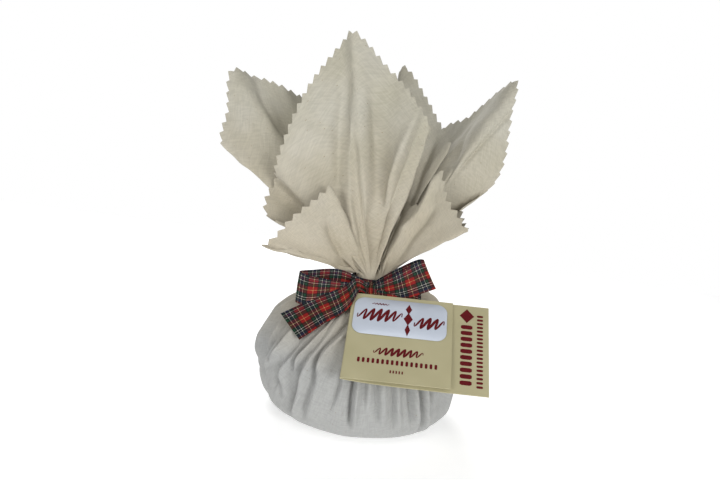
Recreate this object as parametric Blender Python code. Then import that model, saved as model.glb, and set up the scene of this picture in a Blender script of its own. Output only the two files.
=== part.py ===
"""A boiled christmas pudding, tied up in one square calico cloth with a tartan bow and a folded card tag.

The frame is +Z up in metres. The flat base lies on z = 0 with its centre at the origin, and -Y is the
front. Sizes below are in millimetres, and MM turns them into metres.
"""

import bmesh
import bpy
import numpy as np
from mathutils import Vector
from mathutils.geometry import tessellate_polygon

MM = 0.001

# The round bag of pudding and cloth
BASE_RADIUS = 44.0
BELLY_RADIUS = 74.0
BELLY_HEIGHT = 38.0
UNDERSIDE_FULLNESS = 4.4
SHOULDER_HEIGHT = 92.0
NECK_RADIUS = 12.0
NECK_TOP = 105.0
DOME_TOP = 109.0
BAG_COLUMNS = 104
BAG_PLEATS = 13
PLEAT_DEPTH = 1.8

# The flat that the tag presses into the front of the bag's shoulder
PRESSED_DEPTH = 8.0
PRESSED_BEARING = np.radians(-72)
PRESSED_HEIGHT = 77.0
PRESSED_SPREAD = 15.0

# The puff of cloth that stands up from the right of the shoulder
PUFF_LIFT = 12.0
PUFF_BEARING = np.radians(8)
PUFF_RADIUS = 42.0
PUFF_SPREAD = 13.0

# The open corners of the cloth above the tie, which grow out of the neck in straight rays
TIE_HEIGHT = 98.5
ROOT_RADIUS = 12.5
CUP_BOTTOM_ROW = 3
HEM_WALL = 1.4
WALL_SHARE = 0.25
HEM_STEP = 9.0
FLARE_ROWS = (0, 0.1, 0.22, 0.37, 0.55, 0.77, 1)
BLOOM = 1.08

# Every fold of the hem in its order round the tie, in millimetres from the tie
HEM_FOLDS = (
    # front corner, standing up
    (-36, 4, 177),
    (-5, 13, 154),
    (13, 4, 137),
    (28, 10, 115),
    # narrow pleat beside it
    (13, 18, 87),
    (6, 14, 41),
    (17, 9, 54),
    (16, 20, 60),
    (38, 2, 62),
    # front right flap
    (39, -2, 90),
    (45, -12, 71),
    (54, -21, 61),
    (61, -29, 52),
    (60, -6, 57),
    (60, 4, 63),
    # right corner
    (80, 30, 76),
    (88, 31, 95),
    (89, 31, 135),
    (90, 38, 160),
    (72, 62, 142),
    (60, 70, 128),
    (46, 82, 120),
    # pleat at the back right
    (15, 42, 66),
    (21, 35, 63),
    (33, 40, 79),
    # back corner, leaning away
    (48, 42, 106),
    (38, 60, 124),
    (5, 76, 163),
    (1, 76, 148),
    (-16, 72, 124),
    # low side at the back left
    (-22, 64, 78),
    (-44, 74, 34),
    (-62, 60, 30),
    (-34, 44, 66),
    # left corner
    (-66, 52, 126),
    (-85, 46, 134),
    (-107, 51, 139),
    (-125, 38, 141),
    (-125, 38, 112),
    (-124, 28, 84),
    (-72, 40, 68),
    (-60, 12, 28),
    (-60, -6, 20),
    # front left flap
    (-77, -37, 24),
    (-69, -26, 32),
    (-61, -25, 44),
    (-47, -17, 58),
    (-37, -8, 69),
    (-55, -4, 40),
    (-80, -3, 40),
    # left side of the front corner
    (-84, 3, 50),
    (-80, 14, 65),
    (-80, 3, 74),
    (-64, 3, 131),
    (-43, 11, 168),
)

# The ribbon: places along its middle from the tie, and half of its width as a vector at each place
RIBBON_THICKNESS = 1.0
RIBBON_STEPS = 3
BAND_BOTTOM = 93.5
BAND_TOP = 104.0
BAND_RADII = (NECK_RADIUS + 0.4, NECK_RADIUS + 2.2)
KNOT_CENTRE = (0.5, -18.5, -0.5)
KNOT_RADII = (5.5, 6.0, 5.5)
LEFT_LOOP = (
    ((-2, -17, 0), (-0.2, 0, 4.5)),
    ((-22, -18, 3), (0, 0, 9)),
    ((-42, -19, 0), (0, 0, 11)),
    ((-50, -24, -3), (0, 0, 11)),
    ((-43, -30, -4), (0, 3, 10)),
    ((-28, -29, -2), (0, 2, 7)),
    ((-13, -25, -1), (0, 1, 5)),
    ((-2, -20, -1), (0, 0, 4.5)),
)
RIGHT_LOOP = (
    ((2, -17, 0), (-0.8, 0, 4.5)),
    ((20, -21, 9), (-3.5, 0, 8.5)),
    ((37, -21, 17), (-5.6, 1.5, 9.2)),
    ((40, -24, 17.5), (-5.6, 1.5, 9.2)),
    ((36, -27, 16), (-5.4, 1.5, 9.2)),
    ((19, -26, 6), (-3, 0, 8.5)),
    ((2, -21, -1), (-0.8, 0, 4.5)),
)
LEFT_TAIL = (
    ((-1, -22, 0), (-0.5, 0.5, 4.5)),
    ((-9, -29, 4.4), (-1.8, 4.5, 3.5)),
    ((-14, -34, -1.5), (-3, 7.5, 4.3)),
    ((-20.5, -37, -7), (-4.1, 7, 5.7)),
    ((-33, -39, -14.5), (-5.8, 7.7, 5.3)),
    ((-42, -42, -20.5), (-7, 8.2, 5.5)),
    ((-51, -45, -26.5), (-8, 7.4, 6)),
)
RIGHT_TAIL = (
    ((2, -21, -2), (-0.5, 1, 4.5)),
    ((14, -25.5, -2.5), (-0.8, 4, 6.5)),
    ((26, -27, -3.5), (-1, 5, 8.5)),
    ((37, -29, -5), (-1.2, 5, 8.3)),
)

# The card tag, which leans on the shoulder of the bag: its top left corner lies under the knot
TAG_CORNER = (-10.5, -31.5, TIE_HEIGHT - 0.9)
TAG_ACROSS = np.array((1.0, 0.0, 0.025))
TAG_DOWN = np.array((-0.02, -0.8, -0.6))
TAG_OUT = np.cross(TAG_DOWN, TAG_ACROSS)
CARD_THICKNESS = 0.6
CARD_HEIGHT = 68.0
FRONT_WIDTH = 68.5
BACK_WIDTH = 93.5
FOLD_GAP = 1.4
BACK_DROOP = 3.4
LABEL_LEFT = 1.6
LABEL_TOP = 3.6
LABEL_SIZE = (63.0, 30.0)
LABEL_CORNER = 7.0
LABEL_GAP = 0.3
LABEL_THICKNESS = 0.3


def remove_everything():
    for thing in list(bpy.data.objects):
        bpy.data.objects.remove(thing)


def material(name, hex_colour, roughness):
    """A plain Principled material of one sRGB colour."""
    channels = [int(hex_colour[i : i + 2], 16) / 255 for i in (1, 3, 5)]
    linear = [c / 12.92 if c <= 0.04045 else ((c + 0.055) / 1.055) ** 2.4 for c in channels]
    made = bpy.data.materials.new(name)
    made.use_nodes = True
    shader = made.node_tree.nodes["Principled BSDF"]
    shader.inputs["Base Color"].default_value = (*linear, 1)
    shader.inputs["Roughness"].default_value = roughness
    made.diffuse_color = (*linear, 1)
    return made


def add_object(name, points, faces, surface=None):
    mesh = bpy.data.meshes.new(name)
    mesh.from_pydata((np.asarray(points) * MM).tolist(), [], [tuple(map(int, face)) for face in faces])
    if surface:
        mesh.materials.append(surface)
    made = bpy.data.objects.new(name, mesh)
    bpy.context.scene.collection.objects.link(made)
    return made


def band_faces(across, low, high):
    """Quads between two closed rings of equally many points, numbered from low and from high."""
    here = np.arange(across)
    after = (here + 1) % across
    return list(zip(low + here, low + after, high + after, high + here))


def closed_tube(rings):
    """Points and faces of a tube through closed rings, with a flat face over each end."""
    across = len(rings[0])
    last = (len(rings) - 1) * across
    faces = [tuple(range(across - 1, -1, -1)), tuple(range(last, last + across))]
    for low in range(0, last, across):
        faces += band_faces(across, low, low + across)
    return np.concatenate(rings), faces


def slab(one_side, other_side):
    """Points and faces of the closed sheet between two open grids of the same size."""
    rows, columns = one_side.shape[:2]
    number = np.arange(rows * columns).reshape(rows, columns)
    faces = []
    for shift, turn in ((0, 1), (rows * columns, -1)):
        grid = number + shift
        quads = zip(*(part.ravel() for part in (grid[:-1, :-1], grid[1:, :-1], grid[1:, 1:], grid[:-1, 1:])))
        faces += [quad[::turn] for quad in quads]
    rim = np.concatenate([number[0, :-1], number[:-1, -1], number[-1, :0:-1], number[:0:-1, 0]])
    beside = np.roll(rim, -1)
    faces += list(zip(rim, beside, beside + rows * columns, rim + rows * columns))
    return np.concatenate([one_side.reshape(-1, 3), other_side.reshape(-1, 3)]), faces


def unit(vectors):
    return vectors / np.linalg.norm(vectors, axis=1, keepdims=True)


def curve_point(before, start, end, after, share):
    """The point at a share of the way from start to end on a centripetal Catmull-Rom curve."""
    first, middle, last = (
        np.linalg.norm(b - a) ** 0.5 for a, b in ((before, start), (start, end), (end, after))
    )
    leave = middle * ((start - before) / first - (end - before) / (first + middle)) + end - start
    reach = middle * ((after - end) / last - (after - start) / (middle + last)) + end - start
    s = share
    return (
        (2 * s**3 - 3 * s**2 + 1) * start
        + (s**3 - 2 * s**2 + s) * leave
        + (3 * s**2 - 2 * s**3) * end
        + (s**3 - s**2) * reach
    )


def hem_line():
    """The hem as a closed curve through its folds, in steps of about one length."""
    folds = np.array(HEM_FOLDS, float)
    line = []
    for i in range(len(folds)):
        corners = folds[[i - 1, i, (i + 1) % len(folds), (i + 2) % len(folds)]]
        steps = max(1, round(np.linalg.norm(corners[2] - corners[1]) / HEM_STEP))
        line += [curve_point(*corners, share) for share in np.arange(steps) / steps]
    return np.array(line)


def bag_radius(bearing, height):
    """How far the bag reaches from its axis: a slack belly and a domed shoulder, pleated and pressed in."""
    if height < BELLY_HEIGHT:
        bulge = 1 - (1 - height / BELLY_HEIGHT) ** UNDERSIDE_FULLNESS
        radius = BASE_RADIUS + (BELLY_RADIUS - BASE_RADIUS) * bulge
    else:
        climbed = min(1, (height - BELLY_HEIGHT) / (SHOULDER_HEIGHT - BELLY_HEIGHT))
        radius = NECK_RADIUS + (BELLY_RADIUS - NECK_RADIUS) * (1 - climbed**2.2) ** 0.5
    fade = min(1, height / BELLY_HEIGHT) * (radius - NECK_RADIUS) / BELLY_RADIUS
    pleats = PLEAT_DEPTH * fade * np.cos(BAG_PLEATS * bearing + 1.3 * np.sin(2 * bearing))
    facing = np.clip(np.cos(bearing - PRESSED_BEARING), 0, 1) ** 2
    pressed = PRESSED_DEPTH * facing * np.exp(-(((height - PRESSED_HEIGHT) / PRESSED_SPREAD) ** 2))
    return np.maximum(radius + pleats - pressed, NECK_RADIUS)


def puff_lift(bearing, radius):
    """How far the puff lifts the upper side of the bag."""
    facing = np.clip(np.cos(bearing - PUFF_BEARING), 0, 1) ** 6
    return PUFF_LIFT * facing * np.exp(-(((radius - PUFF_RADIUS) / PUFF_SPREAD) ** 2))


def join(whole, part):
    """Adds a part to a whole by a Boolean union, and keeps the part as a hidden guide."""
    union = whole.modifiers.new(part.name, "BOOLEAN")
    union.operation = "UNION"
    union.object = part
    part.hide_render = True
    part.display_type = "WIRE"


def bag(surface):
    """The round bag, from its flat base to the dome that closes its neck."""
    bearings = np.linspace(0, 2 * np.pi, BAG_COLUMNS, endpoint=False)
    low = BELLY_HEIGHT * (1 - np.cos(np.linspace(0, np.pi / 2, 6)[:-1]))
    high = BELLY_HEIGHT + (SHOULDER_HEIGHT - BELLY_HEIGHT) * np.sin(np.linspace(0, np.pi / 2, 7))
    rings = []
    for height in (*low, *high, NECK_TOP):
        radius = bag_radius(bearings, height)
        level = height + (puff_lift(bearings, radius) if height > BELLY_HEIGHT else 0 * bearings)
        rings.append(np.stack([radius * np.cos(bearings), radius * np.sin(bearings), level], axis=1))
    rings.append(rings[-1] * (0.4, 0.4, 0) + (0, 0, DOME_TOP))
    return add_object("wrapped_pudding", *closed_tube(rings), surface)


def aims(hem):
    """Where each ray from the tie to the hem points, as a stereographic map about the vertical."""
    reach = np.linalg.norm(hem, axis=1) + hem[:, 2]
    return hem[:, :2] / reach[:, None]


def clearances(hem):
    """How far the end of each ray is from the nearest stretch of hem that doesn't meet it."""
    aim = aims(hem)
    count = len(hem)
    stretch = np.roll(aim, -1, axis=0) - aim
    offset = aim[:, None] - aim
    share = np.clip((offset * stretch).sum(axis=2) / (stretch**2).sum(axis=1), 0, 1)
    away = np.linalg.norm(offset - share[:, :, None] * stretch, axis=2)
    away[np.arange(count), np.arange(count)] = np.inf
    away[np.arange(count), np.arange(count) - 1] = np.inf
    return away.min(axis=1) * (np.linalg.norm(hem, axis=1) + hem[:, 2])


def flare_ring(hem, rise):
    """The cloth above the neck, at a rise of 0 at its root and 1 at the hem.

    The root repeats the folds of the hem as seen from the tie, drawn in to the size of the neck.
    """
    aim = aims(hem)
    root = np.full_like(hem, NECK_TOP - TIE_HEIGHT)
    root[:, :2] = aim * ROOT_RADIUS / np.linalg.norm(aim, axis=1, keepdims=True) ** 0.5
    spread = np.array([rise**BLOOM, rise**BLOOM, rise])
    return root * (1 - rise) + hem * spread + [0, 0, TIE_HEIGHT]


def flare():
    """The open corners as a folded cup: solid up to its bottom, and above it a thin wall."""
    hem = hem_line()
    count = len(hem)
    outer = [flare_ring(hem, rise) for rise in FLARE_ROWS]
    inner = []
    for k in range(CUP_BOTTOM_ROW, len(outer)):
        facet = unit(np.cross(np.roll(outer[k], -1, axis=0) - outer[k], outer[k] - outer[0]))
        normal = unit(facet + np.roll(facet, 1, axis=0))
        wall = np.minimum(HEM_WALL, WALL_SHARE * clearances(hem)) * FLARE_ROWS[k]
        inner.append(outer[k] - normal * wall[:, None])
    faces = [tuple(range(count - 1, -1, -1))]
    shift = count * len(outer)
    for start, rings, turn in ((0, outer, 1), (shift, inner, -1)):
        for low in range(start, start + count * (len(rings) - 1), count):
            for a, b, c, d in band_faces(count, low, low + count):
                faces += [(a, b, c)[::turn], (a, c, d)[::turn]]
    faces += band_faces(count, shift - count, shift + count * (len(inner) - 1))
    level = [Vector((*aim, 0)) for aim in aims(inner[0] - [0, 0, TIE_HEIGHT])]
    for face in tessellate_polygon([level]):
        a, b, c = (level[corner] for corner in face)
        turn = 1 if (b - a).cross(c - a).z > 0 else -1
        faces.append(tuple(shift + corner for corner in face)[::turn])
    return add_object("flare", np.concatenate(outer + inner), faces)


def wrapped_pudding():
    """The pudding and its cloth as one solid, open as a folded cup above the tie."""
    join(bag(material("calico", "#B9B4A4", 0.95)), flare())


def spline(points, steps):
    """An open Catmull-Rom curve through points, with the same number of steps from each to the next."""
    ends = np.concatenate([[2 * points[0] - points[1]], points, [2 * points[-1] - points[-2]]])
    line = [
        curve_point(*ends[i : i + 4], share)
        for i in range(len(points) - 1)
        for share in np.arange(steps) / steps
    ]
    return np.array([*line, points[-1]])


def ribbon_piece(name, route, surface):
    """A stretch of ribbon along a route of places and half widths, measured from the tie."""
    line = spline(np.array(route, float).reshape(-1, 6), RIBBON_STEPS)
    middle = line[:, :3] + [0, 0, TIE_HEIGHT]
    half = line[:, 3:]
    face = unit(np.cross(np.gradient(middle, axis=0), half)) * RIBBON_THICKNESS / 2
    sides = [np.stack([middle - half, middle, middle + half], axis=1) + off[:, None] for off in (face, -face)]
    return add_object(name, *slab(*sides), surface)


def ribbon_band(name, surface):
    """The ribbon's turn round the neck."""
    turns = np.linspace(0, 2 * np.pi, 36, endpoint=False)
    corners = [(BAND_RADII[0], BAND_BOTTOM), (BAND_RADII[1], BAND_BOTTOM), (BAND_RADII[1], BAND_TOP)]
    corners.append((BAND_RADII[0], BAND_TOP))
    rings = [
        np.stack([radius * np.cos(turns), radius * np.sin(turns), np.full(len(turns), level)], axis=1)
        for radius, level in corners
    ]
    starts = [len(turns) * k for k in range(len(rings))]
    faces = []
    for low, high in zip(starts, (*starts[1:], 0)):
        faces += band_faces(len(turns), low, high)
    return add_object(name, np.concatenate(rings), faces, surface)


def ribbon_knot(name, surface):
    """The crumpled knot in front of the neck."""
    shape = bmesh.new()
    bmesh.ops.create_uvsphere(shape, u_segments=16, v_segments=10, radius=1)
    points = np.array([corner.co for corner in shape.verts])
    faces = [[corner.index for corner in face.verts] for face in shape.faces]
    shape.free()
    return add_object(name, points * KNOT_RADII + KNOT_CENTRE + (0, 0, TIE_HEIGHT), faces, surface)


def ribbon_bow():
    """The bow as one solid: the turn round the neck, the knot, two loops and two tails."""
    tartan = material("tartan", "#5E1A1C", 0.8)
    bow = ribbon_band("ribbon_bow", tartan)
    join(bow, ribbon_knot("knot", tartan))
    for name, route in (
        ("left loop", LEFT_LOOP),
        ("right loop", RIGHT_LOOP),
        ("left tail", LEFT_TAIL),
        ("right tail", RIGHT_TAIL),
    ):
        join(bow, ribbon_piece(name, route, tartan))
    return bow


def on_tag(across, down, out):
    """Places on the tag from its top left corner: across and down the card and out from its face."""
    across, down, out = (np.asarray(value, float)[..., None] for value in (across, down, out))
    return np.array(TAG_CORNER) + across * TAG_ACROSS + down * TAG_DOWN + out * TAG_OUT


def gift_tag():
    """The card, folded along its left edge, whose wider back panel droops a little from the front one."""
    front = np.linspace(FRONT_WIDTH, 0, 7)
    fold = np.radians(np.linspace(90, 270, 5))[1:-1]
    back = np.linspace(0, BACK_WIDTH, 11)
    across = np.concatenate([front, FOLD_GAP / 2 * np.cos(fold), back])
    behind = np.concatenate([front * 0, FOLD_GAP / 2 * (1 - np.sin(fold)), back * 0 + FOLD_GAP])
    facing = np.concatenate([front * 0, np.cos(fold), back * 0])
    outward_share = np.concatenate([front * 0 + 1, np.sin(fold), back * 0 - 1])
    droop = np.concatenate([front * 0, fold * 0, BACK_DROOP * (1 - np.exp(-back / 18))])
    sides = []
    for side in (-CARD_THICKNESS / 2, CARD_THICKNESS / 2):
        rows = []
        for down in np.linspace(0, CARD_HEIGHT, 6):
            out = outward_share * side - behind - droop * down / CARD_HEIGHT
            rows.append(on_tag(across + facing * side, np.full(len(across), down), out))
        sides.append(np.array(rows))
    return add_object("gift_tag", *slab(*sides), material("card", "#B4AD8C", 0.6))


def tag_label():
    """The rounded label on the tag's front panel."""
    width, height = LABEL_SIZE
    turns = np.radians(np.linspace(0, 90, 6))
    outline = []
    for quarter, (across, down) in enumerate(((1, 1), (-1, 1), (-1, -1), (1, -1))):
        angle = turns + quarter * np.pi / 2
        middle = np.array([across * (width / 2 - LABEL_CORNER), down * (height / 2 - LABEL_CORNER)])
        outline.append(middle + LABEL_CORNER * np.stack([np.cos(angle), np.sin(angle)], axis=1))
    outline = np.concatenate(outline) + [LABEL_LEFT + width / 2, LABEL_TOP + height / 2]
    low = CARD_THICKNESS / 2 + LABEL_GAP
    rings = [on_tag(*outline.T, np.full(len(outline), out)) for out in (low, low + LABEL_THICKNESS)]
    count = len(outline)
    faces = [*band_faces(count, count, 0), tuple(range(count)), tuple(range(2 * count - 1, count - 1, -1))]
    return add_object("tag_label", np.concatenate(rings), faces, material("label", "#C6CCD8", 0.4))


def build():
    remove_everything()
    wrapped_pudding()
    ribbon_bow()
    gift_tag()
    tag_label()


build()
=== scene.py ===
"""The looks of a boiled christmas pudding in its tied calico cloth, with a tartan bow and a card tag.

Everything is worked out in millimetres, with +Z up and the front towards -Y, and MM turns it into metres.
The main sizes are those of the solids, so each piece lies where the solid that it stands for does.
"""

import bmesh
import bpy
import numpy as np
from mathutils import Matrix, Vector


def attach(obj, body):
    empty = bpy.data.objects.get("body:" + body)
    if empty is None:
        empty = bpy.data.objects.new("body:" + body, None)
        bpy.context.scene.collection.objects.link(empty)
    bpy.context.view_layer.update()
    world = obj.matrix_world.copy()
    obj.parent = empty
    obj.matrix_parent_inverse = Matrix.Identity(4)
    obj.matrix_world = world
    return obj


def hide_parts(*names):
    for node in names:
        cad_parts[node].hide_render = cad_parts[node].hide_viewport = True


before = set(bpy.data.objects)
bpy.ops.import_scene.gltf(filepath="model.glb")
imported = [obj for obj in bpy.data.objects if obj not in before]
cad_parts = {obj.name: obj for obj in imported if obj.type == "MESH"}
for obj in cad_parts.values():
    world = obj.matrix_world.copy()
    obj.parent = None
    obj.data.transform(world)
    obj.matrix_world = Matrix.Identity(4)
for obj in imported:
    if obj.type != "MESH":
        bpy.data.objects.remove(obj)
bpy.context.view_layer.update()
MM = 0.001
TAU = 2 * np.pi

# The round bag of pudding and cloth
BASE_RADIUS = 44.0
BELLY_RADIUS = 74.0
BELLY_HEIGHT = 38.0
UNDERSIDE_FULLNESS = 4.4
SHOULDER_HEIGHT = 92.0
SHOULDER_FULLNESS = 2.2
NECK_RADIUS = 12.0
NECK_TOP = 105.0
BAG_PLEATS = 13
PLEAT_DEPTH = 1.8
PLEAT_WANDER = 1.3
# The hollow that the bow and the tag press into the front of the shoulder
PRESSED_DEPTH = 8.0
PRESSED_BEARING = np.radians(-72)
PRESSED_HEIGHT = 77.0
PRESSED_SPREAD = 15.0
# The shoulder puffs up on the right, beside the tie
PUFF_LIFT = 12.0
PUFF_BEARING = np.radians(8)
PUFF_RADIUS = 42.0
PUFF_SPREAD = 13.0

# The open corners of the cloth, which grow out of the tied neck in rays
TIE_HEIGHT = 98.5
ROOT_RADIUS = 12.5
BUNDLE_RADIUS = 11.6
BLOOM = 1.08
# The side of the square of cloth before it was tied, in metres
CLOTH_SIDE = 0.41
# Folds of the hem round the open corners, as places from the middle of the tie, counted from 0
HEM_FOLDS = (
    # front corner, standing up
    (-36, 4, 177),
    (-5, 13, 154),
    (13, 4, 137),
    (28, 10, 115),
    # narrow pleat beside it
    (13, 18, 87),
    (6, 14, 41),
    (17, 9, 54),
    (16, 20, 60),
    (38, 2, 62),
    # front right flap
    (39, -2, 90),
    (45, -12, 71),
    (54, -21, 61),
    (61, -29, 52),
    (60, -6, 57),
    (60, 4, 63),
    # right corner
    (80, 30, 76),
    (88, 31, 95),
    (89, 31, 135),
    (90, 38, 160),
    (72, 62, 142),
    (60, 70, 128),
    (46, 82, 120),
    # pleat at the back right
    (15, 42, 66),
    (21, 35, 63),
    (33, 40, 79),
    # back corner, leaning away
    (48, 42, 106),
    (38, 60, 124),
    (5, 76, 163),
    (1, 76, 148),
    (-16, 72, 124),
    # low side at the back left
    (-22, 64, 78),
    (-44, 74, 34),
    (-62, 60, 30),
    (-34, 44, 66),
    # left corner
    (-66, 52, 126),
    (-85, 46, 134),
    (-107, 51, 139),
    (-125, 38, 141),
    (-125, 38, 112),
    (-124, 28, 84),
    (-72, 40, 68),
    (-60, 12, 28),
    (-60, -6, 20),
    # front left flap
    (-77, -37, 24),
    (-69, -26, 32),
    (-61, -25, 44),
    (-47, -17, 58),
    (-37, -8, 69),
    (-55, -4, 40),
    (-80, -3, 40),
    # left side of the front corner
    (-84, 3, 50),
    (-80, 14, 65),
    (-80, 3, 74),
    (-64, 3, 131),
    (-43, 11, 168),
)
# The folds of the hem that are the corners of the square cloth
CLOTH_CORNERS = (0, 18, 27, 37)

# Pinking shears cut teeth of this size, whose tips stand a little past the line of the hem
TOOTH_PITCH = 8.0
TOOTH_DEPTH = 3.6
TOOTH_TIP = 1.2
COLUMNS_PER_TOOTH = 4
# Rows of the open corners, spread by a power of their share, and steps of the hem's curve from fold to fold
FLARE_ROWS = 50
ROW_POWER = 0.9
STEPS_PER_FOLD = 40
# Rows of cloth inside the neck, by how far they lie below its top
TUCKED_ROWS = np.array([7.5, 5.0, 2.5])
# The share of the cloth's half side that is used up on its way to the tie
TIED_SHARE = 0.44

# The tartan ribbon: its loops and tails are routes of (place from the middle of the tie, half its width)
RIBBON_WIDTH = 22.0
RIBBON_THICKNESS = 0.35
RIBBON_STEPS = 22
RIBBON_COLUMNS = 17
BAND_BOTTOM = 93.5
BAND_TOP = 104.0
BAND_RADII = (NECK_RADIUS + 0.4, NECK_RADIUS + 2.2)
KNOT_CENTRE = (0.5, -18.5, -0.5)
KNOT_RADII = (5.5, 6.0, 5.5)
LEFT_LOOP = (
    ((-2, -17, 0), (-0.2, 0, 4.5)),
    ((-22, -19.5, 2.5), (0, 0, 9)),
    ((-42, -22, -1.2), (0, 0.5, 10.4)),
    ((-50.5, -25.5, -3), (0, 1.5, 10.6)),
    ((-43, -29.5, -4), (0, 3, 10)),
    ((-28, -29, -2), (0, 2, 7)),
    ((-13, -25, -1), (0, 1, 5)),
    ((-2, -20, -1), (0, 0, 4.5)),
)
RIGHT_LOOP = (
    ((2, -17, 0), (-0.8, 0, 4.5)),
    ((20, -21, 9), (-3.5, 0, 8.5)),
    ((37, -21, 17), (-5.6, 1.5, 9.2)),
    ((40, -24, 17.5), (-5.6, 1.5, 9.2)),
    ((36, -27, 16), (-5.4, 1.5, 9.2)),
    ((19, -26, 6), (-3, 0, 8.5)),
    ((2, -21, -1), (-0.8, 0, 4.5)),
)
LEFT_TAIL = (
    ((-1, -22, 0), (-0.5, 0.5, 4.5)),
    ((-9, -29, 4.4), (-1.8, 4.5, 3.5)),
    ((-14, -34, -1.5), (-3, 7.5, 4.3)),
    ((-20.5, -37, -7), (-4.1, 7, 5.7)),
    ((-33, -39, -14.5), (-5.8, 7.7, 5.3)),
    ((-42, -42, -20.5), (-7, 8.2, 5.5)),
    ((-51, -45, -26.5), (-8, 7.4, 6)),
)
RIGHT_TAIL = (
    ((2, -21, -2), (-0.5, 1, 4.5)),
    ((14, -25.5, -2.5), (-0.8, 4, 6.5)),
    ((26, -27, -3.5), (-1, 5, 8.5)),
    ((37, -29, -5), (-1.2, 5, 8.3)),
)

# The folded card tag and its label
TAG_CORNER = np.array((-10.5, -31.5, TIE_HEIGHT - 0.9))
TAG_ACROSS = np.array((1.0, 0.0, 0.025))
TAG_DOWN = np.array((-0.02, -0.8, -0.6))
TAG_OUT = np.cross(TAG_DOWN, TAG_ACROSS)
CARD_THICKNESS = 0.6
CARD_HEIGHT = 68.0
FRONT_WIDTH = 68.5
BACK_WIDTH = 93.5
FOLD_GAP = 1.4
BACK_DROOP = 3.4
DROOP_REACH = 18.0
LABEL_LEFT = 1.6
LABEL_TOP = 3.6
LABEL_SIZE = (63.0, 30.0)
LABEL_CORNER = 7.0
LABEL_THICKNESS = 0.3
LABEL_BEVEL = 0.08
# How far the back of the label stands off the middle of the card, and ink off the face that it is printed on
LABEL_BACK = 0.9
INK_THICKNESS = 0.06
CARD_INK_LIFT = 0.06
LABEL_INK_LIFT = 0.04
# Rings of the label, from the middle of its face to the middle of its back: (share of its outline, height)
LABEL_RINGS = (
    (0, LABEL_THICKNESS),
    (0.5, LABEL_THICKNESS),
    (0.995, LABEL_THICKNESS),
    (1, LABEL_THICKNESS - LABEL_BEVEL),
    (1, 0),
    (0.5, 0),
    (0, 0),
)
# The print on the tag, in places across and down from its top left corner
# Flourishes: left and right end, level, height, swings, lean, weight of the stroke
LABEL_SCROLLS = (
    (13, 25, 8.2, 0.7, 6, 0.2, 0.35),
    (4.5, 34, 17.5, 5.2, 6, 2.2, 1.0),
    (43, 62.5, 20.5, 4.8, 4, 2.1, 1.0),
)
FRONT_SCROLL = (18, 50, 45.5, 3.1, 8, 1.4, 0.8)
# Diamonds: middle, half width, half height
LABEL_DIAMONDS = (
    (38.5, 10.5, 2.2, 4.2),
    (38.5, 18.5, 3.1, 5.2),
    (38.5, 27.5, 1.8, 5.0),
)
BACK_DIAMOND = (78.5, 8.5, 5.0, 5.6)
# Rows of bars: start and end of the first, step to the next, how many, half width
FRONT_BARS = (
    ((9, 51.6), (9, 55.2), (3.1, 0), 17, 0.85),
    ((30, 59.2), (30, 61.4), (1.9, 0), 5, 0.45),
)
BACK_BARS = (
    ((74.6, 17.6), (82.4, 17.6), (0, 4.7), 10, 1.6),
    ((85.4, 8), (89.6, 8), (0, 3.0), 19, 0.85),
)


# ---------------------------------------------------------------- meshes


# Places closer than this, in metres, are one
MERGED = 1e-7
WAVE_COUNT = 10


def add_piece(name, grids, material, nodes, crease=None):
    """One mesh piece from grids of places and UVs, with doubled points merged to close seams and poles.

    crease is the angle in degrees past which an edge is drawn sharp.
    """
    places = np.concatenate([place.reshape(-1, 3) for place, _ in grids]) * MM
    uvs = np.concatenate([uv.reshape(-1, 2) for _, uv in grids])
    quads = []
    start = 0
    for place, _ in grids:
        rows, columns = place.shape[:2]
        number = start + np.arange(rows * columns).reshape(rows, columns)
        corners = (number[:-1, :-1], number[:-1, 1:], number[1:, 1:], number[1:, :-1])
        quads.append(np.stack([corner.ravel() for corner in corners], axis=1))
        start += rows * columns
    quads = np.concatenate(quads)
    mesh = bpy.data.meshes.new(name)
    mesh.from_pydata(places.tolist(), [], quads.tolist())
    layer = mesh.uv_layers.new(name="UVMap")
    layer.data.foreach_set("uv", uvs[quads.ravel()].astype(np.float32).ravel())
    shape = bmesh.new()
    shape.from_mesh(mesh)
    bmesh.ops.remove_doubles(shape, verts=shape.verts, dist=MERGED)
    bmesh.ops.dissolve_degenerate(shape, edges=shape.edges, dist=MERGED)
    if not any(edge.is_boundary for edge in shape.edges):
        bmesh.ops.recalc_face_normals(shape, faces=shape.faces)
    shape.to_mesh(mesh)
    shape.free()
    mesh.polygons.foreach_set("use_smooth", np.ones(len(mesh.polygons), bool))
    if crease is not None:
        mesh.set_sharp_from_angle(angle=np.radians(crease))
    mesh.materials.append(material)
    piece = bpy.data.objects.new(name, mesh)
    bpy.context.scene.collection.objects.link(piece)
    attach(piece, "root")
    if nodes:
        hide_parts(*nodes)
    return piece


def unit(vectors):
    """Vectors of length one in the same directions."""
    return vectors / np.maximum(np.linalg.norm(vectors, axis=-1, keepdims=True), 1e-9)


def together(*values):
    """One grid of points from their coordinates, each of which may vary along, across, both or neither."""
    return np.stack(np.broadcast_arrays(*values), axis=-1)


def bell(value, middle, spread):
    """A smooth bump of height 1: e^-((value - middle) / spread)^2."""
    return np.exp(-(((value - middle) / spread) ** 2))


def smooth_step(value, start, end):
    """A smooth climb from 0 at start to 1 at end: 3t^2 - 2t^3 of the share t between them."""
    t = np.clip((value - start) / (end - start), 0, 1)
    return t * t * (3 - 2 * t)


def window(value, start, full, fading, end):
    """A smooth climb from 0 at start to 1 at full, then a smooth fall from 1 at fading to 0 at end."""
    return smooth_step(value, start, full) * (1 - smooth_step(value, fading, end))


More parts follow.
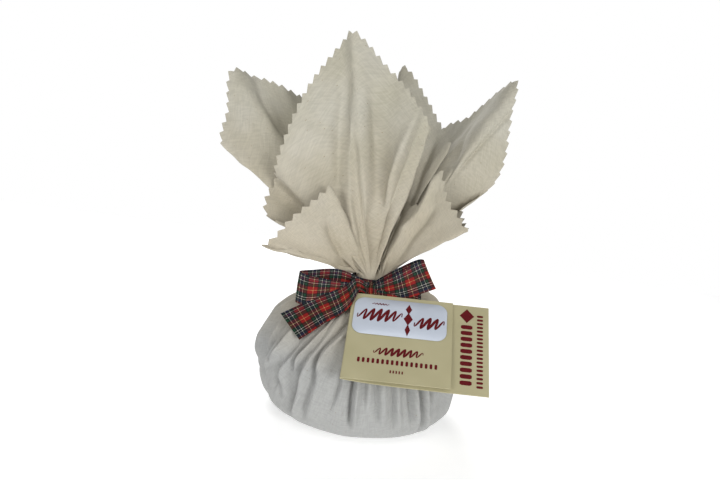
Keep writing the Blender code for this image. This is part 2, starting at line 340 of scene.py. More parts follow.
def spline(points, steps, closed=False):
    """A centripetal Catmull-Rom curve in Hermite form, with a number of steps from each point to the next."""
    points = np.array(points, float)
    if closed:
        before, end, after = (np.roll(points, shift, axis=0) for shift in (1, -1, -2))
        start = points
    else:
        ends = np.concatenate([[2 * points[0] - points[1]], points, [2 * points[-1] - points[-2]]])
        before, start, end, after = ends[:-3], ends[1:-2], ends[2:-1], ends[3:]
    first, middle, last = (
        np.linalg.norm(b - a, axis=1, keepdims=True) ** 0.5
        for a, b in ((before, start), (start, end), (end, after))
    )
    leave = middle * ((start - before) / first - (end - before) / (first + middle)) + end - start
    reach = middle * ((after - end) / last - (after - start) / (middle + last)) + end - start
    s = (np.arange(steps) / steps)[:, None]
    curve = (
        (2 * s**3 - 3 * s**2 + 1) * start[:, None]
        + (s**3 - 2 * s**2 + s) * leave[:, None]
        + (3 * s**2 - 2 * s**3) * end[:, None]
        + (s**3 - s**2) * reach[:, None]
    ).reshape(-1, points.shape[1])
    return np.concatenate([curve, points[:1] if closed else points[-1:]])


def along(line):
    """How far each point of a line is from its start, along the line."""
    return np.concatenate([[0], np.cumsum(np.linalg.norm(np.diff(line, axis=0), axis=1))])


def waves(places, wavelength, seed):
    """Soft random relief, about -1 to 1: twice the mean of sine waves in seeded directions.

    Their lengths lie between 0.7 and 1.5 of the wavelength.
    """
    draw = np.random.default_rng(seed)
    directions = unit(draw.normal(size=(WAVE_COUNT, places.shape[-1])))
    pace = TAU / (wavelength * draw.uniform(0.7, 1.5, WAVE_COUNT))
    phase = draw.uniform(0, TAU, WAVE_COUNT)
    return np.sin(places @ (directions * pace[:, None]).T + phase).mean(axis=-1) * 2


def surface_normals(grid):
    """The normals of a grid of places, as the cross product of its two slopes."""
    return unit(np.cross(np.gradient(grid, axis=1), np.gradient(grid, axis=0)))


# ---------------------------------------------------------------- the calico cloth


def bag_radius(bearing, height):
    """How far the bag reaches from its axis: a slack belly and a domed shoulder, pleated and pressed in.

    With t the share of the way down from the belly, it loses t^4.4 of what it is wider than its base.
    With t the share of the way up to the neck, it keeps (1 - t^2.2)^0.5 of what it is wider than the neck.
    """
    bulge = 1 - np.maximum(1 - height / BELLY_HEIGHT, 0) ** UNDERSIDE_FULLNESS
    low = BASE_RADIUS + (BELLY_RADIUS - BASE_RADIUS) * bulge
    climbed = np.clip((height - BELLY_HEIGHT) / (SHOULDER_HEIGHT - BELLY_HEIGHT), 0, 1)
    high = NECK_RADIUS + (BELLY_RADIUS - NECK_RADIUS) * (1 - climbed**SHOULDER_FULLNESS) ** 0.5
    radius = np.where(height < BELLY_HEIGHT, low, high)
    fade = np.minimum(1, height / BELLY_HEIGHT) * (radius - NECK_RADIUS) / BELLY_RADIUS
    pleats = PLEAT_DEPTH * fade * np.cos(BAG_PLEATS * bearing + PLEAT_WANDER * np.sin(2 * bearing))
    facing = np.clip(np.cos(bearing - PRESSED_BEARING), 0, 1) ** 2
    pressed = PRESSED_DEPTH * facing * bell(height, PRESSED_HEIGHT, PRESSED_SPREAD)
    return np.maximum(radius + pleats - pressed, NECK_RADIUS)


# Pleats of the front of the bag: (bearing in degrees, height) from top to bottom, then width and depth
FRONT_CREASES = (
    (((-141, 73), (-143, 59), (-150, 43)), 2.2, 2.4),
    (((-121, 77), (-125, 65), (-129, 55), (-130, 43)), 2.0, 2.0),
    (((-117, 79), (-119, 65), (-122, 55), (-123, 39)), 2.4, 1.3),
    (((-105, 79), (-111, 71), (-114.5, 63), (-115, 53), (-114, 43)), 2.2, 2.4),
    (((-112, 53), (-116, 33), (-119, 15)), 3.2, 1.2),
    (((-124, 47), (-125, 31), (-130, 7)), 2.8, 1.6),
    (((-139, 47), (-136, 23)), 3.4, 1.3),
    (((-93, 59), (-93, 38), (-92, 15)), 2.0, 2.0),
    (((-82, 59), (-79.6, 35), (-77, 19)), 2.6, 1.2),
    (((-63, 55), (-60, 36), (-55, 15)), 2.2, 1.6),
    (((-57, 55), (-53, 33), (-46, 9)), 2.2, 1.8),
    (((-52, 53), (-46, 29)), 2.4, 1.2),
    (((-100, 56), (-101, 40), (-104, 26)), 1.8, 0.9),
    (((-87, 50), (-86, 30)), 1.8, 0.8),
    (((-72, 52), (-70, 34), (-66, 14)), 2.0, 1.1),
    (((-132, 60), (-137, 44), (-141, 26)), 2.0, 1.1),
    (((-146, 66), (-152, 48), (-156, 30)), 2.2, 1.2),
)
# Pleats of the sides and the back are drawn at random about these bearings, between these limits: how far
# they lean and stray in degrees, the heights of their tops and bottoms, their widths and their depths
BACK_CREASES = np.arange(-32, 205, 10.5)
CREASE_SEED = 4
CREASE_LEAN = (-9, 9)
CREASE_TOP = (78, 90)
CREASE_BOTTOM = (12, 56)
CREASE_STRAY = (-3, 3)
CREASE_WIDTH = (1.8, 3.2)
CREASE_DEPTH = (1, 2.4)
# A pleat in section, in its own width and depth
CREASE_NARROWING = 0.62
CREASE_DEEPENING = 2.8
GROOVE_DEPTH = 1.3
GROOVE_ROUNDING = 0.03
LIP_HEIGHT = 0.9
LIP_PLACE = 2.6
LIP_SPREAD = 2.0
# How far the cloth draws in between the tie and the base, so that the lips of its pleats stay on the bag
SLACK = 1.1
# Where up the bag its slack, its dents and the gathers below the tie start, are full, fade and end
SLACK_LEVELS = (4, 20, 84, 94)
DENT_LEVELS = (0, 14, 85, 93)
GATHER_LEVELS = (56, 88, 92, 97)
# Soft dents, as (depth, wavelength, seed), worked out on a drum of this radius
DENT_RADIUS = 60.0
BAG_DENTS = ((0.7, 34, 2), (0.45, 13, 3))
BASE_DENT = (1.6, 38, 5)
BASE_DENT_REACH = 9.0
# The columns of the bag, and how much closer they stand at the front
BAG_COLUMNS = 560
FRONT_CROWDING = 0.35
# Gathers round the neck: height, how many, how far they wander and how often
BAG_GATHERS = ((1.9, 34, 1.9, 3), (1.2, 54, 1.3, 5))
FLARE_GATHERS = ((3.6, 32, 2.3, 5), (1.1, 76, 1.4, 7))


def crease_line(across, width):
    """A pressed pleat in section: a groove, e^-|x| with its tip rounded, and a soft lip beside it, e^-x^2."""
    groove = np.exp(-np.sqrt((across / width) ** 2 + GROOVE_ROUNDING))
    lip = bell(across, LIP_PLACE * width, LIP_SPREAD * width)
    return LIP_HEIGHT * lip - GROOVE_DEPTH * groove


def gathered(turn, folds):
    """Gathers round the tie, the sum of |sin| of the bearing less a half: round ridges, sharp valleys."""
    return sum(
        height * (np.abs(np.sin(count / 2 * turn + wander * np.sin(swing * turn))) - 0.5)
        for height, count, wander, swing in folds
    )


def bag_relief(bearing, height, radius):
    """What the cloth adds to the radius of the bag: pleats along their routes, then gathers below the tie.

    A pleat is its section times its depth, faded in and out at the ends of its route.
    """
    relief = np.zeros_like(radius)
    draw = np.random.default_rng(CREASE_SEED)
    creases = list(FRONT_CREASES)
    for middle in BACK_CREASES:
        lean = draw.uniform(*CREASE_LEAN)
        top = draw.uniform(*CREASE_TOP)
        bottom = draw.uniform(*CREASE_BOTTOM)
        start = middle + draw.uniform(*CREASE_STRAY)
        route = ((start, top), (start + 0.4 * lean, 0.6 * top + 0.4 * bottom), (start + lean, bottom))
        creases.append((route, draw.uniform(*CREASE_WIDTH), draw.uniform(*CREASE_DEPTH)))
    for route, width, depth in creases:
        line = spline(route, 12)
        middle = np.radians(np.interp(height, line[::-1, 1], line[::-1, 0]))
        off = (bearing - middle + np.pi) % TAU - np.pi
        top, bottom = line[0, 1], line[-1, 1]
        deep = CREASE_DEEPENING * depth * window(height, bottom - 4, bottom + 14, top - 4, top + 8)
        relief += deep * crease_line(off * radius, CREASE_NARROWING * width)
    relief += gathered(bearing, BAG_GATHERS) * window(height, *GATHER_LEVELS)
    return relief - SLACK * window(height, *SLACK_LEVELS)


def bag_grid():
    """The cloth round the pudding, from the middle of its base to a lid inside the tied neck.

    Its rows stand closest together at the base and the shoulder, and its columns at the front.
    """
    bearing = np.linspace(0, TAU, BAG_COLUMNS + 1)
    bearing = bearing + FRONT_CROWDING * (np.sin(bearing - np.pi / 2) + 1)
    base = np.linspace(0, BASE_RADIUS, 8)[:-1]
    low = BELLY_HEIGHT * (1 - np.cos(np.linspace(0, np.pi / 2, 28)[:-1]))
    high = BELLY_HEIGHT + (SHOULDER_HEIGHT - BELLY_HEIGHT) * np.sin(np.linspace(0, np.pi / 2, 60))
    level = np.concatenate([low, high, [95, 98, TIE_HEIGHT + 2]])[:, None]
    turn = bearing[None, :]
    radius = bag_radius(turn, level)
    relief = bag_relief(turn, level, radius)
    side = together(np.cos(turn), np.sin(turn), level)
    drum = side * (DENT_RADIUS, DENT_RADIUS, 1)
    soft = sum(depth * waves(drum, length, seed) for depth, length, seed in BAG_DENTS)
    soft = soft * window(level, *DENT_LEVELS)
    depth, length, seed = BASE_DENT
    rim = depth * waves(drum[:, :, :2], length, seed) * bell(level, 0, BASE_DENT_REACH)
    side[:, :, :2] *= np.maximum(radius + relief + soft + rim, NECK_RADIUS - 0.6)[:, :, None]
    facing = np.clip(np.cos(turn - PUFF_BEARING), 0, 1) ** 6 * (level > BELLY_HEIGHT)
    side[:, :, 2] += PUFF_LIFT * facing * bell(radius, PUFF_RADIUS, PUFF_SPREAD)
    disc = side[:1] * (base / BASE_RADIUS)[:, None, None]
    lid = side[-1:] * (0, 0, 1)
    grid = np.concatenate([disc, side, lid])
    reach = along(grid[:, 0])[:, None]
    return grid, together(reach * np.cos(turn), reach * np.sin(turn)) * MM + CLOTH_SIDE / 2


def aims(hem):
    """Where each ray from the tie to the hem points, as a stereographic map about the vertical."""
    reach = np.linalg.norm(hem, axis=1) + hem[:, 2]
    return hem[:, :2] / reach[:, None]


# Where each fold of the hem leaves the tied neck: (fold of the hem, bearing in degrees)
NECK_ORDER = (
    (0, -90),
    (5, -68),
    (11, -45),
    (18, 0),
    (22, 50),
    (27, 90),
    (33, 140),
    (37, 180),
    (42, 205),
    (47, 225),
    (52, 250),
    (55, 270),
)

# Folds pressed into the open corners: a route of (rise, fold of the hem) from low to high, then width and
# depth. A negative depth raises a ridge, which is a valley seen from inside the far corners.
FLARE_CREASES = (
    # front corner
    (((0.45, 53.1), (0.6, 53.5), (0.82, 53.9)), 10.0, 5.5),
    (((0.12, 52.8), (0.56, 53.8), (0.7, 54.2)), 7.0, -4.0),
    (((0.1, 0.94), (0.3, 1.6), (0.39, 1.21), (0.55, 0.89), (0.78, 0.63)), 8.0, 7.5),
    (((0.17, 1.14), (0.47, 1.6), (0.7, 1.97), (0.98, 2.26)), 3.5, -4.5),
    (((0.2, 1.7), (0.45, 2.3), (0.7, 2.5), (0.9, 2.55)), 4.0, 4.0),
    (((0.27, 2.05), (0.43, 2.9), (0.66, 3.1), (0.94, 2.8)), 4.0, -2.6),
    # back corner, right corner and left corner
    (((0.4, 25.6), (0.64, 25.7), (0.85, 25.8)), 4.0, -3.5),
    (((0.6, 17.2), (0.81, 17.2), (1.0, 17.1)), 3.0, -2.6),
    (((0.5, 17.7), (0.63, 18.5), (0.8, 18.9)), 4.0, -2.6),
    (((0.72, 36.6), (0.83, 36.5), (0.95, 36.2)), 4.0, -3.0),
    # front left flap and front right flap
    (((0.36, 42.6), (0.46, 42.7), (0.77, 42.9), (0.97, 43.4)), 3.5, 4.5),
    (((0.08, 43.2), (0.22, 44.4), (0.37, 45.4), (0.68, 45.9)), 3.5, 5.0),
    (((0.2, 47.0), (0.57, 47.0), (0.96, 46.8)), 3.5, -3.5),
    (((0.2, 10.6), (0.5, 9.9), (0.8, 9.9)), 3.5, 4.0),
    (((0.36, 8.8), (0.64, 9.4), (0.97, 8.9)), 3.0, -3.0),
)

# Folds of the hem below which the cloth lies in a smooth band down to the tie, and how broad it is, in folds
SMOOTH_BANDS = (47.3, 10.6, 54.4, 0.9)
BAND_SPREAD = 1.3
# Where up the rays the gathers above the tie start, are full, fade and end, and where the crumple starts
FLARE_GATHER_RISES = (0.01, 0.1, 0.12, 0.52)
CRUMPLE_RISES = (0.1, 0.6)
# Crumple as (height, wavelength, seed): ridged where it is broad, and soft where it is fine
RIDGED_CRUMPLE = ((2.2, 70, 7), (0.9, 30, 9))
FINE_CRUMPLE = (0.3, 14, 8)
# How far the crumpled faces are drawn in, so that they lie about the surface of the solid
CRUMPLE_DRAW = 1.2


def flare_relief(grid, rise, fold, place, fold_places):
    """How far gathers, creases and crumple move the open corners along their normals.

    place and fold_places are how far along the hem each column and each fold stands. A crease has the
    section e^-|x|^1.5, with x the distance from its route in widths; rays close up towards the tie.
    """
    hem_length = fold_places[-1]
    relief = gathered(place / hem_length * TAU, FLARE_GATHERS) * window(rise, *FLARE_GATHER_RISES)
    for band in SMOOTH_BANDS:
        relief = relief * (1 - bell(fold, band, BAND_SPREAD))
    for route, width, depth in FLARE_CREASES:
        line = np.array(route, float)
        middle = np.interp(rise, line[:, 0], line[:, 1])
        here = np.interp(middle, np.arange(len(fold_places)), fold_places)
        off = (place - here + hem_length / 2) % hem_length - hem_length / 2
        low, high = line[0, 0], line[-1, 0]
        deep = depth * window(rise, low - 0.12, low + 0.1, high - 0.1, high + 0.12)
        relief = relief - deep * np.exp(-np.abs(off * rise / width) ** 1.5)
    ridged = sum(height * np.abs(waves(grid, length, seed)) for height, length, seed in RIDGED_CRUMPLE)
    height, length, seed = FINE_CRUMPLE
    crumple = ridged + height * waves(grid, length, seed)
    return relief + smooth_step(rise, *CRUMPLE_RISES) * (crumple - CRUMPLE_DRAW)


def flare_grid():
    """The cloth above the tie: rays from the neck to the pinked hem, then its relief.

    With t the rise along a ray, its place is (1 - t) root + t hem, where t^1.08 carries the hem's x and y.
    The root lies towards the ray's aim, by the square root of its length. Below t = 0.2 the root gives way
    to the ray's own place in the bundle of cloth at the tie.
    """
    curve = spline(HEM_FOLDS, STEPS_PER_FOLD, closed=True)
    walked = along(curve)
    teeth = round(walked[-1] / TOOTH_PITCH)
    place = np.linspace(0, walked[-1], teeth * COLUMNS_PER_TOOTH + 1)
    hem = together(*(np.interp(place, walked, curve[:, k]) for k in range(3)))
    fold = np.interp(place, walked, np.arange(len(curve)) / STEPS_PER_FOLD)
    notch = np.abs(2 * (place / walked[-1] * teeth % 1) - 1)
    edge = 1 + (TOOTH_TIP - TOOTH_DEPTH * notch) / np.linalg.norm(hem, axis=1)
    rise = (np.linspace(0, 1, FLARE_ROWS) ** ROW_POWER)[:, None] * edge
    aim = aims(hem)
    root = aim * ROOT_RADIUS / np.linalg.norm(aim, axis=1, keepdims=True) ** 0.5
    root = together(root[:, 0], root[:, 1], NECK_TOP - TIE_HEIGHT)
    leave = np.radians(np.interp(fold, *np.array(NECK_ORDER, float).T))
    bundle = together(BUNDLE_RADIUS * np.cos(leave), BUNDLE_RADIUS * np.sin(leave), NECK_TOP - TIE_HEIGHT)
    up = rise[:, :, None]
    loose = smooth_step(up, 0, 0.2)
    spread = np.concatenate([up**BLOOM, up**BLOOM, up], axis=2)
    grid = (bundle * (1 - loose) + root * loose) * (1 - up) + hem * spread + [0, 0, TIE_HEIGHT]
    tucked = grid[:1] - TUCKED_ROWS[:, None, None] * (0, 0, 1)
    grid = np.concatenate([tucked, grid])
    rise = np.concatenate([np.zeros((len(TUCKED_ROWS), rise.shape[1])), rise])
    past_seam = np.concatenate([grid[:, -2:-1], grid, grid[:, 1:2]], axis=1)
    normal = surface_normals(past_seam)[:, 1:-1]
    relief = flare_relief(grid, rise, fold, place, walked[::STEPS_PER_FOLD])
    quarter = np.interp(fold, [*CLOTH_CORNERS, len(HEM_FOLDS)], np.arange(5))
    square = np.array([(0, 0), (1, 0), (1, 1), (0, 1), (0, 0)]) - 0.5
    outline = together(*(np.interp(quarter, np.arange(5), square[:, k]) for k in range(2)))
    flat = 0.5 + outline * (TIED_SHARE + (1 - TIED_SHARE) * rise[:, :, None])
    return grid + normal * relief[:, :, None], flat * CLOTH_SIDE


# ---------------------------------------------------------------- the ribbon


# How deep the ribbon puckers, cups and waves
PUCKER_DEPTH = 1.1
CUP_DEPTH = 0.35
WAVE_DEPTH = 0.2
# How far the turn round the neck bulges, folds and draws in its edges
BAND_BULGE = 0.5
BAND_FOLD_DEPTH = 1.3
BAND_EDGE_DRAW = 0.9


def there_and_back(grid):
    """A grid carried across, back again and closed on its first column."""
    return np.concatenate([grid, grid[:, ::-1], grid[:, :1]], axis=1)


def closed_sheet(middle, face, uv, thickness):
    """A closed thin sheet: its middle surface moved half its thickness both ways, closed at its ends."""
    top = middle + face * thickness / 2
    under = middle - face * thickness / 2
    ring = np.concatenate([top, under[:, ::-1], top[:, :1]], axis=1)
    flat = there_and_back(middle)
    flow = there_and_back(uv)
    return np.concatenate([flat[:1], ring, flat[-1:]]), np.concatenate([flow[:1], flow, flow[-1:]])


def ribbon_strip(route, start):
    """A stretch of ribbon: the middle of its route + its half width times x, x from -1 to 1 across it.

    It is cupped by 1 - x^2, waved by a sine along it, and puckered by a cosine of x where its route is
    narrower than the ribbon. start is how far along its roll it begins.
    """
    line = spline(np.array(route, float).reshape(-1, 6), RIBBON_STEPS)
    middle = line[:, None, :3] + [0, 0, TIE_HEIGHT]
    half = line[:, None, 3:]
    across = np.linspace(-1, 1, RIBBON_COLUMNS)[None, :, None]
    grid = middle + half * across
    face = surface_normals(grid)
    width = np.linalg.norm(half, axis=2, keepdims=True)
    slack = np.clip(1 - 2 * width / RIBBON_WIDTH, 0, 1)
    walked = along(line[:, :3])[:, None, None]
    pucker = PUCKER_DEPTH * slack * np.cos(2.5 * np.pi * across + 0.05 * walked)
    cup = WAVE_DEPTH * np.sin(walked / 6) * across - CUP_DEPTH * (1 - across**2)
    grid = grid + face * (pucker + cup)
    uv = together(walked[:, :, 0] + start, across[:, :, 0] * RIBBON_WIDTH / 2) * MM
    return closed_sheet(grid, surface_normals(grid), uv, RIBBON_THICKNESS)


def ribbon_band():
    """The turn round the neck, crushed into three lengthwise folds, sin^2 of its width, and closed inside."""
    turn = np.linspace(0, TAU, 145)[:, None]
    part = np.linspace(0, 1, 25)[None, :]
    fold = np.sin(3 * np.pi * part + 0.6 * np.sin(2 * turn)) ** 2
    relief = BAND_BULGE - BAND_FOLD_DEPTH * fold * np.sin(np.pi * part) - BAND_EDGE_DRAW * (2 * part - 1) ** 4
    radius = BAND_RADII[1] + relief
    level = BAND_BOTTOM + (BAND_TOP - BAND_BOTTOM) * part
    outside = together(radius * np.cos(turn), radius * np.sin(turn), level)
    inside = together(BAND_RADII[0] * np.cos(turn), BAND_RADII[0] * np.sin(turn), level[:, ::-1])
    uv = together(turn * BAND_RADII[1], (part - 0.5) * RIBBON_WIDTH) * MM
    return np.concatenate([outside, inside, outside[:, :1]], axis=1), there_and_back(uv)


def ribbon_knot():
    """The knot: a puckered turn of ribbon over the crossing, closed to a point at its left and right.

    Its radius is the square root of 1 - |x|^2.6, x from -1 to 1 along it, with puckers of 7 and 4 percent.
    """
    turn = np.linspace(0, TAU, 61)[:, None]
    side = np.linspace(-1, 1, 41)[None, :]
    swell = (1 - np.abs(side) ** 2.6) ** 0.5
    pucker = 1 + 0.07 * np.cos(5 * np.pi * side + 0.8 * np.sin(turn)) + 0.04 * np.sin(3 * turn + 4 * side)
    radius = swell * pucker
    axis = np.where(np.abs(side) < 1, side + 0.06 * np.sin(2 * turn), side)
    shape = together(axis, radius * np.cos(turn), radius * np.sin(turn))
    uv = together(turn * KNOT_RADII[2], side * RIBBON_WIDTH / 2) * MM
    return shape * KNOT_RADII + KNOT_CENTRE + (0, 0, TIE_HEIGHT), uv


# ---------------------------------------------------------------- the card tag


def on_tag(across, down, out):
    """Places on the tag from its top left corner: across and down the card and out from its face."""
    across, down, out = (np.asarray(value, float)[..., None] for value in (across, down, out))
    return TAG_CORNER + across * TAG_ACROSS + down * TAG_DOWN + out * TAG_OUT


def panel_droop(across):
    """How far the lower edge of the back panel has sunk: 3.4 (1 - e^(-x / 18)), x from the fold."""
    return BACK_DROOP * (1 - np.exp(-across / DROOP_REACH))


def folded_card():
    """The card, folded along its left edge: front panel, half circle, then the wider drooping back panel."""
    front = np.linspace(FRONT_WIDTH, 0, 24)
    bend = np.linspace(90, 270, 11)[1:-1]
    back = np.linspace(0, BACK_WIDTH, 32)
    facing = np.radians(np.concatenate([np.full_like(front, 90), bend, np.full_like(back, 270)]))
    across = np.concatenate([front, 0 * bend, back]) + FOLD_GAP / 2 * np.cos(facing)
    behind = FOLD_GAP / 2 * (1 - np.sin(facing))
    droop = np.concatenate([0 * front, 0 * bend, panel_droop(back)])
    down = np.linspace(0, CARD_HEIGHT, 20)[:, None]
    middle = on_tag(across, down, -behind - droop * down / CARD_HEIGHT)
    face = np.cos(facing)[:, None] * TAG_ACROSS + np.sin(facing)[:, None] * TAG_OUT
    return closed_sheet(middle, face, together(across, -down) * MM, CARD_THICKNESS)


def label_card():
    """The rounded label: rings from the middle of its face to a rounded rim and down to its back."""
    width, height = LABEL_SIZE
    turn = np.linspace(0, TAU, 97)
    quarter = np.minimum(turn // (np.pi / 2), 3)
    corner_x = np.where((quarter == 0) | (quarter == 3), 1, -1) * (width / 2 - LABEL_CORNER)
    corner_y = np.where(quarter < 2, 1, -1) * (height / 2 - LABEL_CORNER)
    outline = together(corner_x + LABEL_CORNER * np.cos(turn), corner_y + LABEL_CORNER * np.sin(turn))
    outline[-1] = outline[0]
    share, out = np.array(LABEL_RINGS).T
    flat = outline * share[:, None, None] + [LABEL_LEFT + width / 2, LABEL_TOP + height / 2]
    return on_tag(flat[:, :, 0], flat[:, :, 1], LABEL_BACK + out[:, None]), flat * (1, -1) * MM


def front_face(across, down):
    """The height of print on the front panel, the same all over."""
    return CARD_THICKNESS / 2 + CARD_INK_LIFT + 0 * across


def back_face(across, down):
    """The height of print on the part of the back panel that shows beside the front one."""
    return front_face(across, down) - FOLD_GAP - panel_droop(across) * down / CARD_HEIGHT


def label_face(across, down):
    """The height of print on the label, the same all over."""
    return LABEL_BACK + LABEL_THICKNESS + LABEL_INK_LIFT + 0 * across


def ink(route, half, face_height):
    """A flat printed stroke along a route on the tag, thin as foil: half is its half width at each step."""
    slope = unit(np.gradient(route, axis=0))
    sideways = together(-slope[:, 1], slope[:, 0]) * half[:, None]
    flat = route[:, None] + sideways[:, None] * np.array([-1, 0, 1])[:, None]
    middle = on_tag(flat[:, :, 0], flat[:, :, 1], face_height(flat[:, :, 0], flat[:, :, 1]))
    return closed_sheet(middle, TAG_OUT, flat * MM, INK_THICKNESS)


def scroll(left, right, level, height, turns, lean, weight, face_height):
    """A pen flourish: a leaning sine wave whose stroke swells at every crossing of its middle line."""
    t = np.linspace(0, 1, 26 * turns)
    swing = np.sin(TAU * turns * t) * np.sin(np.pi * t) ** 0.25
    route = together(left + (right - left) * t - lean * swing, level + height * swing)
    half = weight * (0.45 + 0.55 * np.cos(TAU * turns * t) ** 2) * (0.25 + 0.75 * np.sin(np.pi * t) ** 0.5)
    return ink(route, half, face_height)


def lozenge(across, down, half_width, half_height, face_height):
    """A printed diamond."""
    t = np.linspace(-1, 1, 9)
    route = together(across, down + half_height * t)
    return ink(route, half_width * np.maximum(1 - np.abs(t), 0.02), face_height)


def bar_row(start, end, step, count, half, face_height):
    """A row of straight printed bars with tapered ends."""
    t = np.linspace(0, 1, 7)[:, None]
    first = np.array(start) * (1 - t) + np.array(end) * t
    taper = half * np.array([0.6, 1, 1, 1, 1, 1, 0.6])
    return [ink(first + k * np.array(step), taper, face_height) for k in range(count)]


# ---------------------------------------------------------------- materials


def linear(hex_colour):
    """An sRGB hex colour as linear RGBA."""
    channels = [int(hex_colour[k : k + 2], 16) / 255 for k in (1, 3, 5)]
    return (*(c / 12.92 if c <= 0.04045 else ((c + 0.055) / 1.055) ** 2.4 for c in channels), 1)


def add_node(tree, kind, inputs=None, stops=None, **settings):
    """Adds a shader node. inputs maps a socket to a value or to another node's output; stops fill a ramp."""
    made = tree.nodes.new("ShaderNode" + kind)
    for name, value in settings.items():
        setattr(made, name, value)
    for socket, value in (inputs or {}).items():
        if isinstance(value, bpy.types.NodeSocket):
            tree.links.new(value, made.inputs[socket])
        else:
            made.inputs[socket].default_value = value
    if stops:
        band = made.color_ramp
        for place, _ in stops[2:]:
            band.elements.new(place)
        for element, (place, colour) in zip(band.elements, stops):
            element.position = place
            element.color = linear(colour)
    return made


def new_material(name, roughness, **fixed):
    """A material with one Principled shader; fixed sets numbers on the shader's own sockets."""
    made = bpy.data.materials.new(name)
    made.use_nodes = True
    shader = made.node_tree.nodes["Principled BSDF"]
    shader.inputs["Roughness"].default_value = roughness
    for socket, value in fixed.items():
        shader.inputs[socket.replace("_", " ")].default_value = value
    return made, made.node_tree, shader


# Threads and slubs to the metre: threads lie 0.5 mm apart, and are drawn 1.1 mm apart, the finest that
# shows, and slubs are 7 mm long
THREADS = 900
SLUBS = 140
# Husk flecks to the metre: cells of 5 mm, a fleck about 0.6 mm across in every fifth one
HUSK_CELLS = 190
HUSK_RADIUS = 0.055
HUSK_SHARE = 0.2
# Heights in metres between which painted bounce light warms the cloth towards the tie, and painted shade
# greys the bag
WARM_LEVELS = (0.22, 0.11)
SHADED_BAG_LEVELS = (0.104, 0.05)


def calico():
    """Unbleached plain-woven cotton: matt, cream, slubbed, flecked with scraps of seed husk.

    The faint sheen is the fuzz of its yarns, which keeps its edges from going dark.
    """
    made, tree, shader = new_material("unbleached calico", 0.92, Sheen_Weight=0.12, Sheen_Roughness=0.5)
    uv = add_node(tree, "TexCoord").outputs["UV"]
    place = add_node(tree, "TexCoord").outputs["Object"]
    yarns = []
    for scale in ((THREADS, SLUBS, 1), (SLUBS, THREADS, 1)):
        lie = add_node(tree, "Mapping", {"Vector": uv, "Scale": scale}).outputs[0]
        yarns.append(add_node(tree, "TexNoise", {"Vector": lie, "Scale": 1.0, "Detail": 2.0}).outputs["Fac"])
    weave = add_node(tree, "Math", {0: yarns[0], 1: yarns[1]}, operation="ADD").outputs[0]
    # The cloth is unevenly clean, in patches 45 mm across
    cloud = add_node(tree, "TexNoise", {"Vector": place, "Scale": 22.0, "Detail": 3.0}).outputs["Fac"]
    creams = ((0.3, "#ABA796"), (0.5, "#B3AFA0"), (0.7, "#BAB7AB"))
    tone = add_node(tree, "ValToRGB", {"Fac": cloud}, creams).outputs["Color"]
    # Light that bounces between the folds near the tie makes the cloth look yellower there
    level = add_node(tree, "SeparateXYZ", {0: place}).outputs[2]
    low = add_node(tree, "MapRange", {0: level, 1: WARM_LEVELS[0], 2: WARM_LEVELS[1], 4: 0.5}).outputs[0]
    tone = add_node(tree, "Mix", {0: low, 6: tone, 7: linear("#BDAE94")}, data_type="RGBA").outputs[2]
    # Painted shade: the bag below the tie is painted greyer than the corners, for the shade that the open
    # corners cast on it
    bag_shade_share = add_node(tree, "MapRange", {0: level, 1: SHADED_BAG_LEVELS[0], 2: SHADED_BAG_LEVELS[1]}).outputs[0]
    bag_shade = add_node(tree, "Math", {0: bag_shade_share, 1: 0.9}, operation="MULTIPLY").outputs[0]
    tone = add_node(tree, "Mix", {0: bag_shade, 6: tone, 7: linear("#9FA1A1")}, data_type="RGBA").outputs[2]
    thread = add_node(tree, "MapRange", {0: weave, 1: 0.8, 2: 1.2, 3: 0.9, 4: 1.04}).outputs[0]
    tone = add_node(
        tree, "Mix", {0: 1.0, 6: tone, 7: thread}, data_type="RGBA", blend_type="MULTIPLY"
    ).outputs[2]
    # Scraps of husk are brown, and half covered by the yarns
    cells = add_node(tree, "TexVoronoi", {"Vector": uv, "Scale": HUSK_CELLS}, voronoi_dimensions="2D")
    far = cells.outputs["Distance"]
    near = add_node(tree, "Math", {0: far, 1: HUSK_RADIUS}, operation="LESS_THAN").outputs[0]
    pick = add_node(tree, "SeparateColor", {0: cells.outputs["Color"]}).outputs[0]
    some = add_node(tree, "Math", {0: pick, 1: HUSK_SHARE}, operation="LESS_THAN").outputs[0]
    fleck = add_node(tree, "Math", {0: near, 1: some}, operation="MULTIPLY").outputs[0]
    fleck = add_node(tree, "Math", {0: fleck, 1: 0.5}, operation="MULTIPLY").outputs[0]
    tone = add_node(tree, "Mix", {0: fleck, 6: tone, 7: linear("#7C6448")}, data_type="RGBA").outputs[2]
    tree.links.new(tone, shader.inputs["Base Color"])
    bump = add_node(tree, "Bump", {"Strength": 0.4, "Distance": 0.0004, "Height": weave})
    tree.links.new(bump.outputs[0], shader.inputs["Normal"])
    return made


# Stripes of the tartan across the ribbon, as (share of the width where one starts, colour)
RED, GREEN, BLACK, NAVY = "#861513", "#113A25", "#060608", "#121334"
WHITE, YELLOW, ROSE = "#F4F2E6", "#F0DC90", "#6A2740"
TARTAN_ACROSS = (
    (0.0, RED),
    (0.06, NAVY),
    (0.14, BLACK),
    (0.174, WHITE),
    (0.19, BLACK),
    (0.25, WHITE),
    (0.266, BLACK),
    (0.3, GREEN),
    (0.37, BLACK),
    (0.4, RED),
    (0.505, YELLOW),
    (0.523, RED),
    (0.63, BLACK),
    (0.66, GREEN),
    (0.73, BLACK),
    (0.764, WHITE),
    (0.78, BLACK),
    (0.82, ROSE),
    (0.88, BLACK),
    (0.902, WHITE),
    (0.912, BLACK),
    (0.95, NAVY),
)
